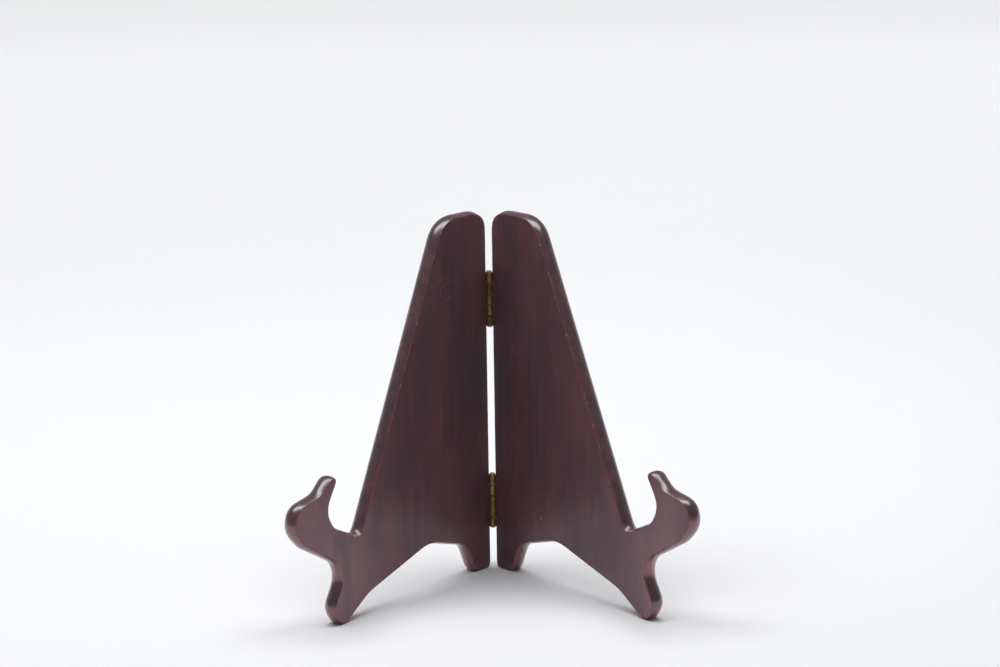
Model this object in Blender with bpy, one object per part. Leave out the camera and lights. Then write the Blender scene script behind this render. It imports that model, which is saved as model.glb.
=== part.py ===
"""Folding wooden plate display stand: two shaped boards hinged along their rear edges.

Frame: metres, +Z up, front of the stand towards -Y, origin at the bottom centre of its box.
Each board is drawn in its own plane: a is the distance forward of the hinge pin, t is the depth
through the board from the inner face, z is the height above the table.
"""

import math

import bmesh
import bpy
from mathutils import Vector

MM = 0.001

# Opening of the stand in use: angle of each board from the stand's front plane
BOARD_ANGLE = math.radians(52.0)

# Board
BOARD_THICKNESS = 8.0
BOARD_HEIGHT = 170.0
REST_LEAN = math.radians(25.0)
FOLD_GAP = 0.2
SOLE_CUT = 0.4
CURVE_STEP = math.radians(12.0)
STRAIGHT_STEP = 9.0
CLOSEST_POINTS = 0.05
CORNER_ROOM = 0.49

# Bullnose worked round the board's edge, as an arc through the thickness
NOSE_RADIUS = 5.4
NOSE_CREST = 3.3
NOSE_FACETS = 7
NOSE_FADE = 7.0
NOSE_ROOM = 0.85

# Butt hinges on the square rear edges
PIN_RADIUS = 0.85
PIN_HEAD_RADIUS = 1.3
PIN_END_RADIUS = 0.6
PIN_END_GAP = 0.15
PIN_HEAD_RIM = 0.35
PIN_HEAD_HEIGHT = 0.7
KNUCKLE_RADIUS = 1.75
KNUCKLE_EASE = 0.15
KNUCKLE_BORE = 0.95
KNUCKLE_COUNT = 5
KNUCKLE_GAP = 0.3
HINGE_HEIGHT = 25.0
HINGE_CENTRES = {"lower": 32.0, "upper": 128.0}
LEAF_THICKNESS = 0.9
LEAF_BACK = 1.8
LEAF_FRONT = LEAF_BACK - LEAF_THICKNESS
LEAF_WIDTH = 7.5
LEAF_NOTCH = 2.2
LEAF_SEAT_GAP = 0.3
TAB_INSET = 0.1
TAB_REACH = 0.3
REAR_EDGE = LEAF_BACK + LEAF_SEAT_GAP

# Countersunk wood screws, slotted
SCREW_SPREAD = 7.2
SCREW_DEPTH = 4.8
SCREW_LENGTH = 9.5
SCREW_HEAD_RADIUS = 1.75
SCREW_HEAD_HEIGHT = 0.8
SCREW_SHANK_RADIUS = 0.95
SCREW_THREAD_PITCH = 1.1
SCREW_SLOT_WIDTH = 0.45
SCREW_SLOT_DEPTH = 0.4
SCREW_SINK = 0.05
SCREW_CORE = 0.7
SCREW_PLAIN = 2.6
SCREW_THREADS = 5
SCREW_THREAD_START = 2.8
SCREW_THREAD_ROOT = 0.25
SCREW_THREAD_CREST = 0.7
SCREW_POINT = 1.0
SCREW_POINT_RADIUS = 0.12
HEAD_GAP = 0.15
SHANK_GAP = 0.25
SINK_LIP = 0.2
DRILL_TIP = 1.0
DRILL_TIP_SHARE = 0.4

# How far a cutting shape runs past what it cuts
OVERRUN = 1.0
SLOT_REACH = 3.0

# Sides of the round pieces, and the angle above which an edge is shaded sharp
KNUCKLE_SIDES = 20
SCREW_SIDES = 12
SHARP_ANGLE = math.radians(32.0)

# Where the seat meets the sloping back rest, and where the back rest ends at the top
SEAT_HEEL = (94.5, 37.5)
REST_TOP = SEAT_HEEL[0] - (BOARD_HEIGHT - SEAT_HEEL[1]) * math.tan(REST_LEAN)

# Corners of the board's outline as (a, z, rounding radius), clockwise from the plate's seat
OUTLINE = [
    (*SEAT_HEEL, 2.5),
    (110.0, 45.0, 4.7),                              # toe of the seat
    (115.0, 53.0, 8.0),                              # back of the prong
    (107.6, 66.0, 2.6),                              # prong tip
    (109.8, 68.7, 2.6),
    (113.0, 67.5, 3.0),
    (119.7, 62.0, 8.4),                              # hollow in front of the prong
    (134.4, 59.4, 8.0),                              # rounded knee
    (138.0, 48.6, 9.6),
    (130.3, 40.0, 10.9),
    (109.4, 28.2, 11.0),                             # ankle
    (106.4, 20.3, 8.9),
    (113.9, 7.9, 7.1),                               # front foot
    (108.5, -SOLE_CUT, 4.5),
    (104.3, -SOLE_CUT, 4.0),
    (88.8, 9.4, 20.0),                               # arch
    (46.0, 21.8, 20.0),
    (20.0, 14.5, 11.0),
    (13.5, -SOLE_CUT, 3.5),                          # rear foot
    (REAR_EDGE, -SOLE_CUT, 2.0),
    (REAR_EDGE, BOARD_HEIGHT, 9.0),                  # top
    (REST_TOP, BOARD_HEIGHT, 15.0),
]


# ---------------------------------------------------------------- outline and edge profile

def rounded_corner(before, corner, after, radius):
    """Points of the arc that rounds one corner."""
    to_before = (before - corner).normalized()
    to_after = (after - corner).normalized()
    half = to_before.angle(to_after) / 2
    room = CORNER_ROOM * min((before - corner).length, (after - corner).length)
    reach = min(radius / math.tan(half), room)
    radius = reach * math.tan(half)
    centre = corner + (to_before + to_after).normalized() * (radius / math.sin(half))
    start = corner + to_before * reach - centre
    end = corner + to_after * reach - centre
    turn = start.angle_signed(end)
    steps = max(2, round(abs(turn) / CURVE_STEP))
    first = math.atan2(start.y, start.x)
    angles = [first - turn * i / steps for i in range(steps + 1)]
    return [centre + radius * Vector((math.cos(a), math.sin(a))) for a in angles]


def board_outline():
    """The board's outline as evenly spaced points (a, z), clockwise."""
    corners = [Vector((a, z)) for a, z, _ in OUTLINE]
    count = len(corners)
    points = []
    for i, (_, _, radius) in enumerate(OUTLINE):
        points += rounded_corner(corners[i - 1], corners[i], corners[(i + 1) % count], radius)
    outline = []
    for point, following in zip(points, points[1:] + points[:1]):
        gap = (following - point).length
        steps = max(1, round(gap / STRAIGHT_STEP))
        outline += [point.lerp(following, i / steps) for i in range(steps) if gap > CLOSEST_POINTS]
    return outline


def outward_normals(outline):
    """Unit normals of a clockwise outline, pointing out of the board."""
    normals = []
    for i, point in enumerate(outline):
        ahead = (outline[(i + 1) % len(outline)] - point).normalized()
        behind = (point - outline[i - 1]).normalized()
        along = ahead + behind
        normals.append(Vector((-along.y, along.x)).normalized())
    return normals


def nose_rings():
    """The bullnose arc as (depth t, offset from the outline), from inner to outer face."""
    first = -math.asin(NOSE_CREST / NOSE_RADIUS)
    last = math.asin((BOARD_THICKNESS - NOSE_CREST) / NOSE_RADIUS)
    rings = []
    for i in range(NOSE_FACETS + 1):
        angle = first + (last - first) * i / NOSE_FACETS
        depth = NOSE_CREST + NOSE_RADIUS * math.sin(angle)
        rings.append((depth, NOSE_RADIUS * (math.cos(angle) - 1)))
    return rings


def nose_share(a):
    """How much of the bullnose an edge point gets: none on the square rear edge."""
    x = min(1.0, max(0.0, (a - REAR_EDGE) / NOSE_FADE))
    return x * x * (3 - 2 * x)


def inscribed_radius(outline, point, normal):
    """Radius of the largest circle inside the outline that touches it at one point."""
    best = BOARD_THICKNESS
    for other in outline:
        away = other - point
        depth = -away.dot(normal)
        if depth > 0:
            best = min(best, away.length_squared / (2 * depth))
    return best


def nose_scales(outline, normals):
    """Share of the full bullnose at each outline point: less on the tight prong tip."""
    deepest = -nose_rings()[-1][1]
    scales = []
    for point, normal in zip(outline, normals):
        room = NOSE_ROOM * inscribed_radius(outline, point, normal) / deepest
        scales.append(min(1.0, room) * nose_share(point.x))
    return scales


def board_rings():
    """Rings of points (a, t, z) from the inner face to the outer face."""
    outline = board_outline()
    normals = outward_normals(outline)
    scales = nose_scales(outline, normals)
    rings = []
    for depth, offset in nose_rings():
        ring = []
        for point, normal, scale in zip(outline, normals, scales):
            edge = point + normal * offset * scale
            ring.append(Vector((edge.x, depth + FOLD_GAP, max(0.0, edge.y))))
        rings.append(ring)
    return rings


# ---------------------------------------------------------------- mesh helpers

def clear_scene():
    for obj in list(bpy.data.objects):
        bpy.data.objects.remove(obj, do_unlink=True)


def make_material(name, colour, roughness, metallic):
    material = bpy.data.materials.new(name)
    material.use_nodes = True
    shader = material.node_tree.nodes["Principled BSDF"]
    shader.inputs["Base Color"].default_value = (*colour, 1.0)
    shader.inputs["Roughness"].default_value = roughness
    shader.inputs["Metallic"].default_value = metallic
    return material


def mesh_from_rings(name, rings, mirrored=False):
    """Closed mesh over equal rings of points, with a flat cap on the first and last ring."""
    mesh_data = bmesh.new()
    flip = Vector((1, -1, 1)) if mirrored else Vector((1, 1, 1))
    loops = [[mesh_data.verts.new(point * flip * MM) for point in ring] for ring in rings]
    count = len(loops[0])
    for lower, upper in zip(loops, loops[1:]):
        for i in range(count):
            j = (i + 1) % count
            mesh_data.faces.new((lower[i], lower[j], upper[j], upper[i]))
    mesh_data.faces.new(reversed(loops[0]))
    mesh_data.faces.new(loops[-1])
    bmesh.ops.recalc_face_normals(mesh_data, faces=mesh_data.faces)
    mesh = bpy.data.meshes.new(name)
    mesh_data.to_mesh(mesh)
    mesh_data.free()
    return mesh


def turned_mesh(name, profile, sides, axis="Z"):
    """Solid of revolution through (radius, height) points, on the Z or X axis."""
    rings = []
    for radius, height in profile:
        ring = []
        for i in range(sides):
            angle = 2 * math.pi * (i + 0.5) / sides
            x, y = radius * math.cos(angle), radius * math.sin(angle)
            ring.append(Vector((x, y, height)) if axis == "Z" else Vector((height, x, y)))
        rings.append(ring)
    return mesh_from_rings(name, rings)


def box_mesh(name, low, high):
    rings = []
    for z in (low[2], high[2]):
        corners = ((low[0], low[1]), (high[0], low[1]), (high[0], high[1]), (low[0], high[1]))
        rings.append([Vector((x, y, z)) for x, y in corners])
    return mesh_from_rings(name, rings)


def shaped(mesh, tools, operation):
    """The mesh after a Boolean with each tool mesh in turn; the tools are used up."""
    body = bpy.data.objects.new("blank", mesh)
    bpy.context.scene.collection.objects.link(body)
    helpers = []
    for tool_mesh, offset in tools:
        tool = bpy.data.objects.new("tool", tool_mesh)
        tool.location = Vector(offset) * MM
        tool.hide_render = True
        tool.display_type = 'WIRE'
        bpy.context.scene.collection.objects.link(tool)
        cut = body.modifiers.new("cut", 'BOOLEAN')
        cut.operation = operation
        cut.solver = 'EXACT'
        cut.object = tool
        helpers.append(tool)
    bpy.context.view_layer.update()
    evaluated = body.evaluated_get(bpy.context.evaluated_depsgraph_get())
    result = bpy.data.meshes.new_from_object(evaluated)
    result.name = mesh.name
    for obj in [body] + helpers:
        bpy.data.objects.remove(obj, do_unlink=True)
    return result


def place(name, mesh, side, material, location=(0, 0, 0)):
    """One named piece of the stand, carried by its side's empty on the hinge pin."""
    mesh.materials.clear()
    mesh.materials.append(material)
    mesh.shade_smooth()
    mesh.set_sharp_from_angle(angle=SHARP_ANGLE)
    obj = bpy.data.objects.new(name, mesh)
    obj.parent = side
    obj.location = Vector(location) * MM
    bpy.context.scene.collection.objects.link(obj)
    return obj


# ---------------------------------------------------------------- pieces

def screw_heights():
    """Height of every screw above the table."""
    return [centre + side * SCREW_SPREAD
            for centre in HINGE_CENTRES.values() for side in (-1, 1)]


def board_mesh(mirrored):
    """One board, with a pilot hole for each screw in its square rear edge."""
    name = "left_board" if mirrored else "right_board"
    board = mesh_from_rings(name, board_rings(), mirrored)
    depth = -SCREW_DEPTH if mirrored else SCREW_DEPTH
    hole_end = LEAF_FRONT + SCREW_LENGTH + SHANK_GAP * 2
    radius = SCREW_SHANK_RADIUS + SHANK_GAP
    profile = [(radius, 0.0), (radius, hole_end - DRILL_TIP), (radius * DRILL_TIP_SHARE, hole_end)]
    drills = []
    for height in screw_heights():
        drills.append((turned_mesh("drill", profile, SCREW_SIDES, "X"), (0, depth, height)))
    return shaped(board, drills, 'DIFFERENCE')


def knuckle_spans(owner):
    """Lowest and highest z of the knuckles on one leaf, about the hinge's centre."""
    pitch = (HINGE_HEIGHT + KNUCKLE_GAP) / KNUCKLE_COUNT
    spans = []
    for i in range(owner, KNUCKLE_COUNT, 2):
        low = -HINGE_HEIGHT / 2 + i * pitch
        spans.append((low, low + pitch - KNUCKLE_GAP))
    return spans


def leaf_plate(mirrored, owner):
    """Flat leaf with tabs that run under its own knuckles and notches for the others."""
    half = HINGE_HEIGHT / 2
    outline = [(LEAF_WIDTH, half), (LEAF_WIDTH, -half), (LEAF_NOTCH, -half)]
    for low, high in knuckle_spans(owner):
        low, high = low + TAB_INSET, high - TAB_INSET
        outline += [(LEAF_NOTCH, low), (TAB_REACH, low), (TAB_REACH, high), (LEAF_NOTCH, high)]
    outline.append((LEAF_NOTCH, half))
    rings = [[Vector((a, t, z)) for t, z in outline] for a in (LEAF_FRONT, LEAF_BACK)]
    name = "left_leaf" if mirrored else "right_leaf"
    return mesh_from_rings(name, rings, mirrored)


def leaf_mesh(mirrored):
    """Hinge leaf: plate, rolled knuckles, pin bore and countersunk screw holes."""
    owner = 0 if mirrored else 1
    plate = leaf_plate(mirrored, owner)
    knuckles = []
    for low, high in knuckle_spans(owner):
        eased = KNUCKLE_RADIUS - KNUCKLE_EASE
        profile = [(eased, low), (KNUCKLE_RADIUS, low + KNUCKLE_EASE),
                   (KNUCKLE_RADIUS, high - KNUCKLE_EASE), (eased, high)]
        knuckles.append((turned_mesh("knuckle", profile, KNUCKLE_SIDES), (0, 0, 0)))
    leaf = shaped(plate, knuckles, 'UNION')
    reach = HINGE_HEIGHT / 2 + OVERRUN
    bore = turned_mesh("bore", [(KNUCKLE_BORE, -reach), (KNUCKLE_BORE, reach)], KNUCKLE_SIDES)
    cuts = [(bore, (0, 0, 0))]
    depth = -SCREW_DEPTH if mirrored else SCREW_DEPTH
    mouth = SCREW_HEAD_RADIUS + HEAD_GAP
    neck = SCREW_SHANK_RADIUS + HEAD_GAP
    for side in (-1, 1):
        profile = [(mouth + SINK_LIP, LEAF_FRONT - SINK_LIP), (mouth, LEAF_FRONT),
                   (neck, LEAF_FRONT + SCREW_HEAD_HEIGHT), (neck, LEAF_BACK + OVERRUN)]
        sink = turned_mesh("sink", profile, SCREW_SIDES, "X")
        cuts.append((sink, (0, depth, side * SCREW_SPREAD)))
    return shaped(leaf, cuts, 'DIFFERENCE')


def pin_mesh():
    """Hinge pin with its two peened ends."""
    reach = HINGE_HEIGHT / 2 + PIN_END_GAP
    upper = [(PIN_RADIUS, reach), (PIN_HEAD_RADIUS, reach),
             (PIN_HEAD_RADIUS, reach + PIN_HEAD_RIM), (PIN_END_RADIUS, reach + PIN_HEAD_HEIGHT)]
    lower = [(radius, -height) for radius, height in reversed(upper)]
    return turned_mesh("pin", lower + upper, KNUCKLE_SIDES)


def screw_mesh():
    """Slotted countersunk wood screw along +X, with its head's top at x = 0."""
    core = SCREW_SHANK_RADIUS * SCREW_CORE
    profile = [(SCREW_HEAD_RADIUS, 0.0), (SCREW_SHANK_RADIUS, SCREW_HEAD_HEIGHT),
               (SCREW_SHANK_RADIUS, SCREW_PLAIN)]
    for i in range(SCREW_THREADS):
        x = SCREW_THREAD_START + i * SCREW_THREAD_PITCH
        profile += [(core, x + SCREW_THREAD_ROOT), (SCREW_SHANK_RADIUS, x + SCREW_THREAD_CREST)]
    profile += [(core, SCREW_LENGTH - SCREW_POINT), (SCREW_POINT_RADIUS, SCREW_LENGTH)]
    screw = turned_mesh("screw", profile, SCREW_SIDES, "X")
    half = SCREW_SLOT_WIDTH / 2
    low, high = (-OVERRUN, -half, -SLOT_REACH), (SCREW_SLOT_DEPTH, half, SLOT_REACH)
    slot = box_mesh("slot", low, high)
    return shaped(screw, [(slot, (0, 0, 0))], 'DIFFERENCE')


def pin_setback():
    """How far behind the origin the pin stands, so that the origin is the box's centre."""
    sine, cosine = math.sin(BOARD_ANGLE), math.cos(BOARD_ANGLE)
    front = max(p.x * sine - p.y * cosine for ring in board_rings() for p in ring)
    rear = LEAF_WIDTH * cosine - LEAF_FRONT * sine
    return (front - rear) / 2


def side_empty(name, heading):
    """Empty on the pin's axis whose +X runs forward along one board."""
    empty = bpy.data.objects.new(name, None)
    empty.location = (0, pin_setback() * MM, 0)
    empty.rotation_euler = (0, 0, heading)
    bpy.context.scene.collection.objects.link(empty)
    return empty


def build_side(side_name, mirrored, wood, brass, screw_brass, screw):
    """One board with its two hinge leaves and four screws."""
    heading = -math.pi + BOARD_ANGLE if mirrored else -BOARD_ANGLE
    side = side_empty(f"{side_name}_side", heading)
    place(f"{side_name}_wing", board_mesh(mirrored), side, wood)
    leaf = leaf_mesh(mirrored)
    depth = -SCREW_DEPTH if mirrored else SCREW_DEPTH
    for level, centre in HINGE_CENTRES.items():
        place(f"{level}_hinge_{side_name}_leaf", leaf, side, brass, (0, 0, centre))
        for spot, offset in (("bottom", -SCREW_SPREAD), ("top", SCREW_SPREAD)):
            location = (LEAF_FRONT + SCREW_SINK, depth, centre + offset)
            name = f"{level}_hinge_{side_name}_{spot}_screw"
            place(name, screw, side, screw_brass, location)
    return side


def build():
    clear_scene()
    wood = make_material("mahogany_stained_wood", (0.115, 0.055, 0.060), 0.38, 0.0)
    brass = make_material("hinge_brass", (0.72, 0.53, 0.24), 0.34, 1.0)
    pin_brass = make_material("pin_brass", (0.66, 0.48, 0.22), 0.30, 1.0)
    screw_brass = make_material("screw_brass", (0.76, 0.58, 0.28), 0.30, 1.0)
    screw = screw_mesh()
    left = build_side("left", True, wood, brass, screw_brass, screw)
    build_side("right", False, wood.copy(), brass.copy(), screw_brass, screw)
    pin = pin_mesh()
    for level, centre in HINGE_CENTRES.items():
        place(f"{level}_hinge_pin", pin, left, pin_brass, (0, 0, centre))


build()
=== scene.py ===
"""Looks of the folding plate stand: two shaped, stained boards on a pair of brass butt hinges.

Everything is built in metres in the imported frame: +Z up, front towards -Y. Shapes are drawn in
millimetres in each board's own plane: a runs forward from the hinge pin, t goes through the board
from its inner face outwards, and z is the height above the table.
"""

import math

import bmesh
import bpy
from mathutils import Matrix, Vector


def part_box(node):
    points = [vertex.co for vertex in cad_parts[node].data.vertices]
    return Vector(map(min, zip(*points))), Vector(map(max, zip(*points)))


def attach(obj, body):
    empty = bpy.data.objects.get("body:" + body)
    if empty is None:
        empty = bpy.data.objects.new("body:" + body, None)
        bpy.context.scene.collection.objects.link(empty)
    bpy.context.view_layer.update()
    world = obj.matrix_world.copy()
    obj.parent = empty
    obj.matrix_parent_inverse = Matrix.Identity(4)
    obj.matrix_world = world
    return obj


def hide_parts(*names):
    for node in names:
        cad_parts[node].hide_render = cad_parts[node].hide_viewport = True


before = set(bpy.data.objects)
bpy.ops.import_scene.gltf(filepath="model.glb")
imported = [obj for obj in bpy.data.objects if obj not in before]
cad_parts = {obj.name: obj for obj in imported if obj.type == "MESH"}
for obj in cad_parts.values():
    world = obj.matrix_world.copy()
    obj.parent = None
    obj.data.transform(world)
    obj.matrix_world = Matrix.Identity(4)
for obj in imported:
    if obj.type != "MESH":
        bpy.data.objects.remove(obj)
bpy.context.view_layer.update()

MM = 0.001
SIDES = {"left": True, "right": False}               # True: drawn mirrored

# ---------------------------------------------------------------- sizes, as in the CAD part

BOARD_ANGLE = math.radians(52.0)
BOARD_THICKNESS = 8.0
BOARD_HEIGHT = 170.0
REST_LEAN = math.radians(25.0)
FOLD_GAP = 0.2
SOLE_CUT = 0.4
SEAT_HEEL = (94.5, 37.5)
REAR_EDGE = 2.1

NOSE_RADIUS = 5.4
NOSE_CREST = 3.3
NOSE_FADE = 7.0
NOSE_ROOM = 0.85

HINGE_HEIGHT = 25.0
HINGE_CENTRES = {"lower": 32.0, "upper": 128.0}
LEAF_FRONT = 0.9
LEAF_BACK = 1.8
LEAF_WIDTH = 7.5
LEAF_NOTCH = 2.2
KNUCKLE_COUNT = 5
KNUCKLE_GAP = 0.3
ROLL_OUTER = 1.8
ROLL_INNER = 0.95
PIN_RADIUS = 0.85
PIN_HEAD_RADIUS = 1.3
SCREW_SPREAD = 7.2
SCREW_DEPTH = 4.8
SCREW_LENGTH = 9.5
SCREW_HEAD_RADIUS = 1.75
SCREW_SHANK_RADIUS = 0.95
SCREW_SINK = 0.05

REST_TOP = SEAT_HEEL[0] - (BOARD_HEIGHT - SEAT_HEEL[1]) * math.tan(REST_LEAN)

# Corners of the board's outline as (a, z, rounding radius), clockwise from the plate's seat
OUTLINE = [
    (*SEAT_HEEL, 2.5),
    (110.0, 45.0, 4.7),                              # toe of the seat
    (115.0, 53.0, 8.0),                              # back of the prong
    (107.6, 66.0, 2.6),                              # prong tip
    (109.8, 68.7, 2.6),
    (113.0, 67.5, 3.0),
    (119.7, 62.0, 8.4),                              # hollow in front of the prong
    (134.4, 59.4, 8.0),                              # rounded knee
    (138.0, 48.6, 9.6),
    (130.3, 40.0, 10.9),
    (109.4, 28.2, 11.0),                             # ankle
    (106.4, 20.3, 8.9),
    (113.9, 7.9, 7.1),                               # front foot
    (108.5, -SOLE_CUT, 4.5),
    (104.3, -SOLE_CUT, 4.0),
    (88.8, 9.4, 20.0),                               # arch
    (46.0, 21.8, 20.0),
    (20.0, 14.5, 11.0),
    (13.5, -SOLE_CUT, 3.5),                          # rear foot
    (REAR_EDGE, -SOLE_CUT, 2.0),
    (REAR_EDGE, BOARD_HEIGHT, 9.0),                  # top
    (REST_TOP, BOARD_HEIGHT, 15.0),
]

# ---------------------------------------------------------------- fineness of the shown boards

CURVE_STEP = math.radians(4.0)
STRAIGHT_STEP = 0.9
FAIRING_PASSES = 5
FACE_INSETS = (1.0, 0.7, 0.45, 0.25)
INSET_ROOM = 0.55
ARRIS_EASE = 0.14
ARRIS_STEPS = 4
NOSE_STEPS = 20
SHOULDER_ANGLE = math.radians(54.0)
SHOULDER_STEPS = 7
SQUARE_EASE = 0.3
ROUND_SIDES = 48
SHARP_ANGLE = math.radians(30.0)

ROUNDING_ROOM = 0.49                                 # share of a side that one corner may use
SAME_POINT = 1e-4
TOUCHING = 1e-6
SMOOTHING_REACH = 2                                  # outline points to each side
CORNER_WEAR = 0.6

# ---------------------------------------------------------------- details that the CAD leaves out

LEAF_EASE = 0.12
LEAF_CORNER = 0.9
LEAF_CORNER_STEPS = 8
ROLL_EASE = 0.1
ROLL_OVERLAP = 0.4
ROLL_SKIN = 0.01                                     # keeps faces of roll and plate apart
ROLL_OUTER_STEPS = 40
ROLL_INNER_STEPS = 32
SEAM_GAP = 0.08
HOLE_PLAY = 0.15
PIN_PLAY = 0.15

# Countersunk hole as (radius, place through the leaf), from before its face to past its back
MOUTH = SCREW_HEAD_RADIUS + HOLE_PLAY
NECK = SCREW_SHANK_RADIUS + HOLE_PLAY
SINK = [(MOUTH + 0.5, LEAF_FRONT - 0.3), (MOUTH + 0.08, LEAF_FRONT),
        (MOUTH - 0.02, LEAF_FRONT + 0.08), (NECK, LEAF_FRONT + 0.8), (NECK, LEAF_BACK + 1)]

# Peened end of a pin as (radius, height past the knuckles)
PIN_END = [(PIN_RADIUS, 0.0), (PIN_HEAD_RADIUS - 0.06, 0.0), (PIN_HEAD_RADIUS, 0.06),
           (PIN_HEAD_RADIUS, 0.2), (1.22, 0.36), (1.02, 0.50), (0.70, 0.61), (0.34, 0.67),
           (0.05, 0.69)]

# Domed, countersunk screw head and plain shank as (radius, depth)
SCREW_HEAD = [(0.05, -0.10), (0.6, -0.095), (1.1, -0.065), (1.5, -0.01), (1.68, 0.04),
              (SCREW_HEAD_RADIUS, 0.12), (SCREW_HEAD_RADIUS - 0.03, 0.18),
              (SCREW_SHANK_RADIUS, 0.85), (SCREW_SHANK_RADIUS, 2.6)]
THREAD_CORE = 0.7                                    # share of the shank's radius
THREAD_TURNS = 5
THREAD_START = 2.8
THREAD_PITCH = 1.1
THREAD_ROOT = 0.25
THREAD_CREST = 0.7
SCREW_POINT = 1.0
SCREW_POINT_RADIUS = 0.12
SLOT_HALF_WIDTH = 0.24
SLOT_HALF_LENGTH = 3.0
SLOT_DEPTHS = (-1.0, 0.42)
SLOT_EASE = 0.05
SLOT_TWISTS = {"lower_left_bottom": 12, "lower_left_top": -38, "lower_right_bottom": 71,
               "lower_right_top": 24, "upper_left_bottom": -63, "upper_left_top": 49,
               "upper_right_bottom": -8, "upper_right_top": 86}

PIN = (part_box("lower_hinge_pin")[0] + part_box("lower_hinge_pin")[1]) / 2


def side_matrix(mirrored):
    """From a board's own (a, t, z) in millimetres to the frame in metres."""
    heading = -math.pi + BOARD_ANGLE if mirrored else -BOARD_ANGLE
    flip = Matrix.Diagonal((MM, -MM if mirrored else MM, MM, 1.0))
    place = Matrix.Translation((PIN.x, PIN.y, 0.0))
    return place @ Matrix.Rotation(heading, 4, 'Z') @ flip


# ---------------------------------------------------------------- board outline and profile

def rounded_corner(before, corner, after, radius):
    """Points of the arc that rounds one corner."""
    to_before = (before - corner).normalized()
    to_after = (after - corner).normalized()
    half = to_before.angle(to_after) / 2
    room = ROUNDING_ROOM * min((before - corner).length, (after - corner).length)
    reach = min(radius / math.tan(half), room)
    radius = reach * math.tan(half)
    centre = corner + (to_before + to_after).normalized() * (radius / math.sin(half))
    start = corner + to_before * reach - centre
    end = corner + to_after * reach - centre
    turn = start.angle_signed(end)
    steps = max(2, round(abs(turn) / CURVE_STEP))
    first = math.atan2(start.y, start.x)
    angles = [first - turn * i / steps for i in range(steps + 1)]
    return [centre + radius * Vector((math.cos(a), math.sin(a))) for a in angles]


def evenly_spaced(points, step):
    """A closed line of points, walked again in equal steps."""
    loop = points + points[:1]
    lengths = [(after - before).length for before, after in zip(loop, loop[1:])]
    count = round(sum(lengths) / step)
    step = sum(lengths) / count
    walked, at, result = 0.0, 0, []
    for i in range(count):
        while walked + lengths[at] < i * step:
            walked += lengths[at]
            at += 1
        share = (i * step - walked) / lengths[at]
        result.append(loop[at].lerp(loop[at + 1], share))
    return result


def board_outline():
    """The board's outline as evenly spaced, faired points (a, z), clockwise."""
    corners = [Vector((a, z)) for a, z, _ in OUTLINE]
    count = len(corners)
    points = []
    for i, (_, _, radius) in enumerate(OUTLINE):
        points += rounded_corner(corners[i - 1], corners[i], corners[(i + 1) % count], radius)
    points = [p for p, q in zip(points, points[1:] + points[:1]) if (q - p).length > SAME_POINT]
    outline = evenly_spaced(points, STRAIGHT_STEP)
    for _ in range(FAIRING_PASSES):
        outline = [(outline[i - 1] + 2 * point + outline[(i + 1) % len(outline)]) / 4
                   for i, point in enumerate(outline)]
    return outline


def outward_normals(outline):
    """Unit normals of a clockwise outline, pointing out of the board."""
    normals = []
    for i, point in enumerate(outline):
        ahead = (outline[(i + 1) % len(outline)] - point).normalized()
        behind = (point - outline[i - 1]).normalized()
        along = ahead + behind
        normals.append(Vector((-along.y, along.x)).normalized())
    return normals


def inscribed_radius(outline, normals):
    """Radius of the largest circle inside the outline that touches it at each point."""
    radii = []
    for point, normal in zip(outline, normals):
        best = BOARD_THICKNESS * 2
        for other in outline:
            away = other - point
            depth = -away.dot(normal)
            if depth > TOUCHING:
                best = min(best, away.length_squared / (2 * depth))
        radii.append(best)
    return radii


def eased(start, corner, end):
    """Points of a small curve that eases a corner, both ends included."""
    points = []
    for i in range(ARRIS_STEPS + 1):
        u = i / ARRIS_STEPS
        points.append(start * (1 - u) ** 2 + corner * 2 * u * (1 - u) + end * u * u)
    return points


def outer_insets(last):
    """Rows on the flat outer face, stepping in from the last row of a profile."""
    return [last - Vector((0.0, inset)) for inset in reversed(FACE_INSETS)]


def nose_profile():
    """The bullnose as (depth, offset from the outline), from the inner to the outer face."""
    first = -math.asin(NOSE_CREST / NOSE_RADIUS)

    def on_arc(angle):
        depth = NOSE_CREST + NOSE_RADIUS * math.sin(angle)
        return Vector((depth, NOSE_RADIUS * (math.cos(angle) - 1)))

    corner = on_arc(first)
    rows = [Vector((0.0, corner.y - inset)) for inset in FACE_INSETS]
    start = corner - Vector((0.0, ARRIS_EASE))
    first += ARRIS_EASE / NOSE_RADIUS
    rows += eased(start, corner, on_arc(first))
    for i in range(1, NOSE_STEPS + 1):
        rows.append(on_arc(first + (SHOULDER_ANGLE - first) * i / NOSE_STEPS))
    shoulder = rows[-1]
    radius = (BOARD_THICKNESS - shoulder.x) / (1 - math.sin(SHOULDER_ANGLE))
    aim = Vector((math.sin(SHOULDER_ANGLE), math.cos(SHOULDER_ANGLE)))
    centre = shoulder - radius * aim
    for i in range(1, SHOULDER_STEPS + 1):
        angle = SHOULDER_ANGLE + (math.pi / 2 - SHOULDER_ANGLE) * i / SHOULDER_STEPS
        rows.append(centre + radius * Vector((math.sin(angle), math.cos(angle))))
    return rows + outer_insets(rows[-1])


def square_profile():
    """The square rear edge as (depth, offset), row for row with nose_profile()."""
    corner = Vector((0.0, 0.0))
    start = Vector((0.0, -SQUARE_EASE))
    rows = [Vector((0.0, start.y - inset)) for inset in FACE_INSETS]
    rows += eased(start, corner, Vector((SQUARE_EASE, 0.0)))
    last = BOARD_THICKNESS - SQUARE_EASE
    for i in range(1, NOSE_STEPS + 1):
        rows.append(Vector((SQUARE_EASE + (last - SQUARE_EASE) * i / NOSE_STEPS, 0.0)))
    for i in range(1, SHOULDER_STEPS + 1):
        angle = math.pi / 2 * i / SHOULDER_STEPS
        across = SQUARE_EASE * Vector((math.sin(angle), math.cos(angle) - 1))
        rows.append(Vector((last, 0.0)) + across)
    return rows + outer_insets(rows[-1])


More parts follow.
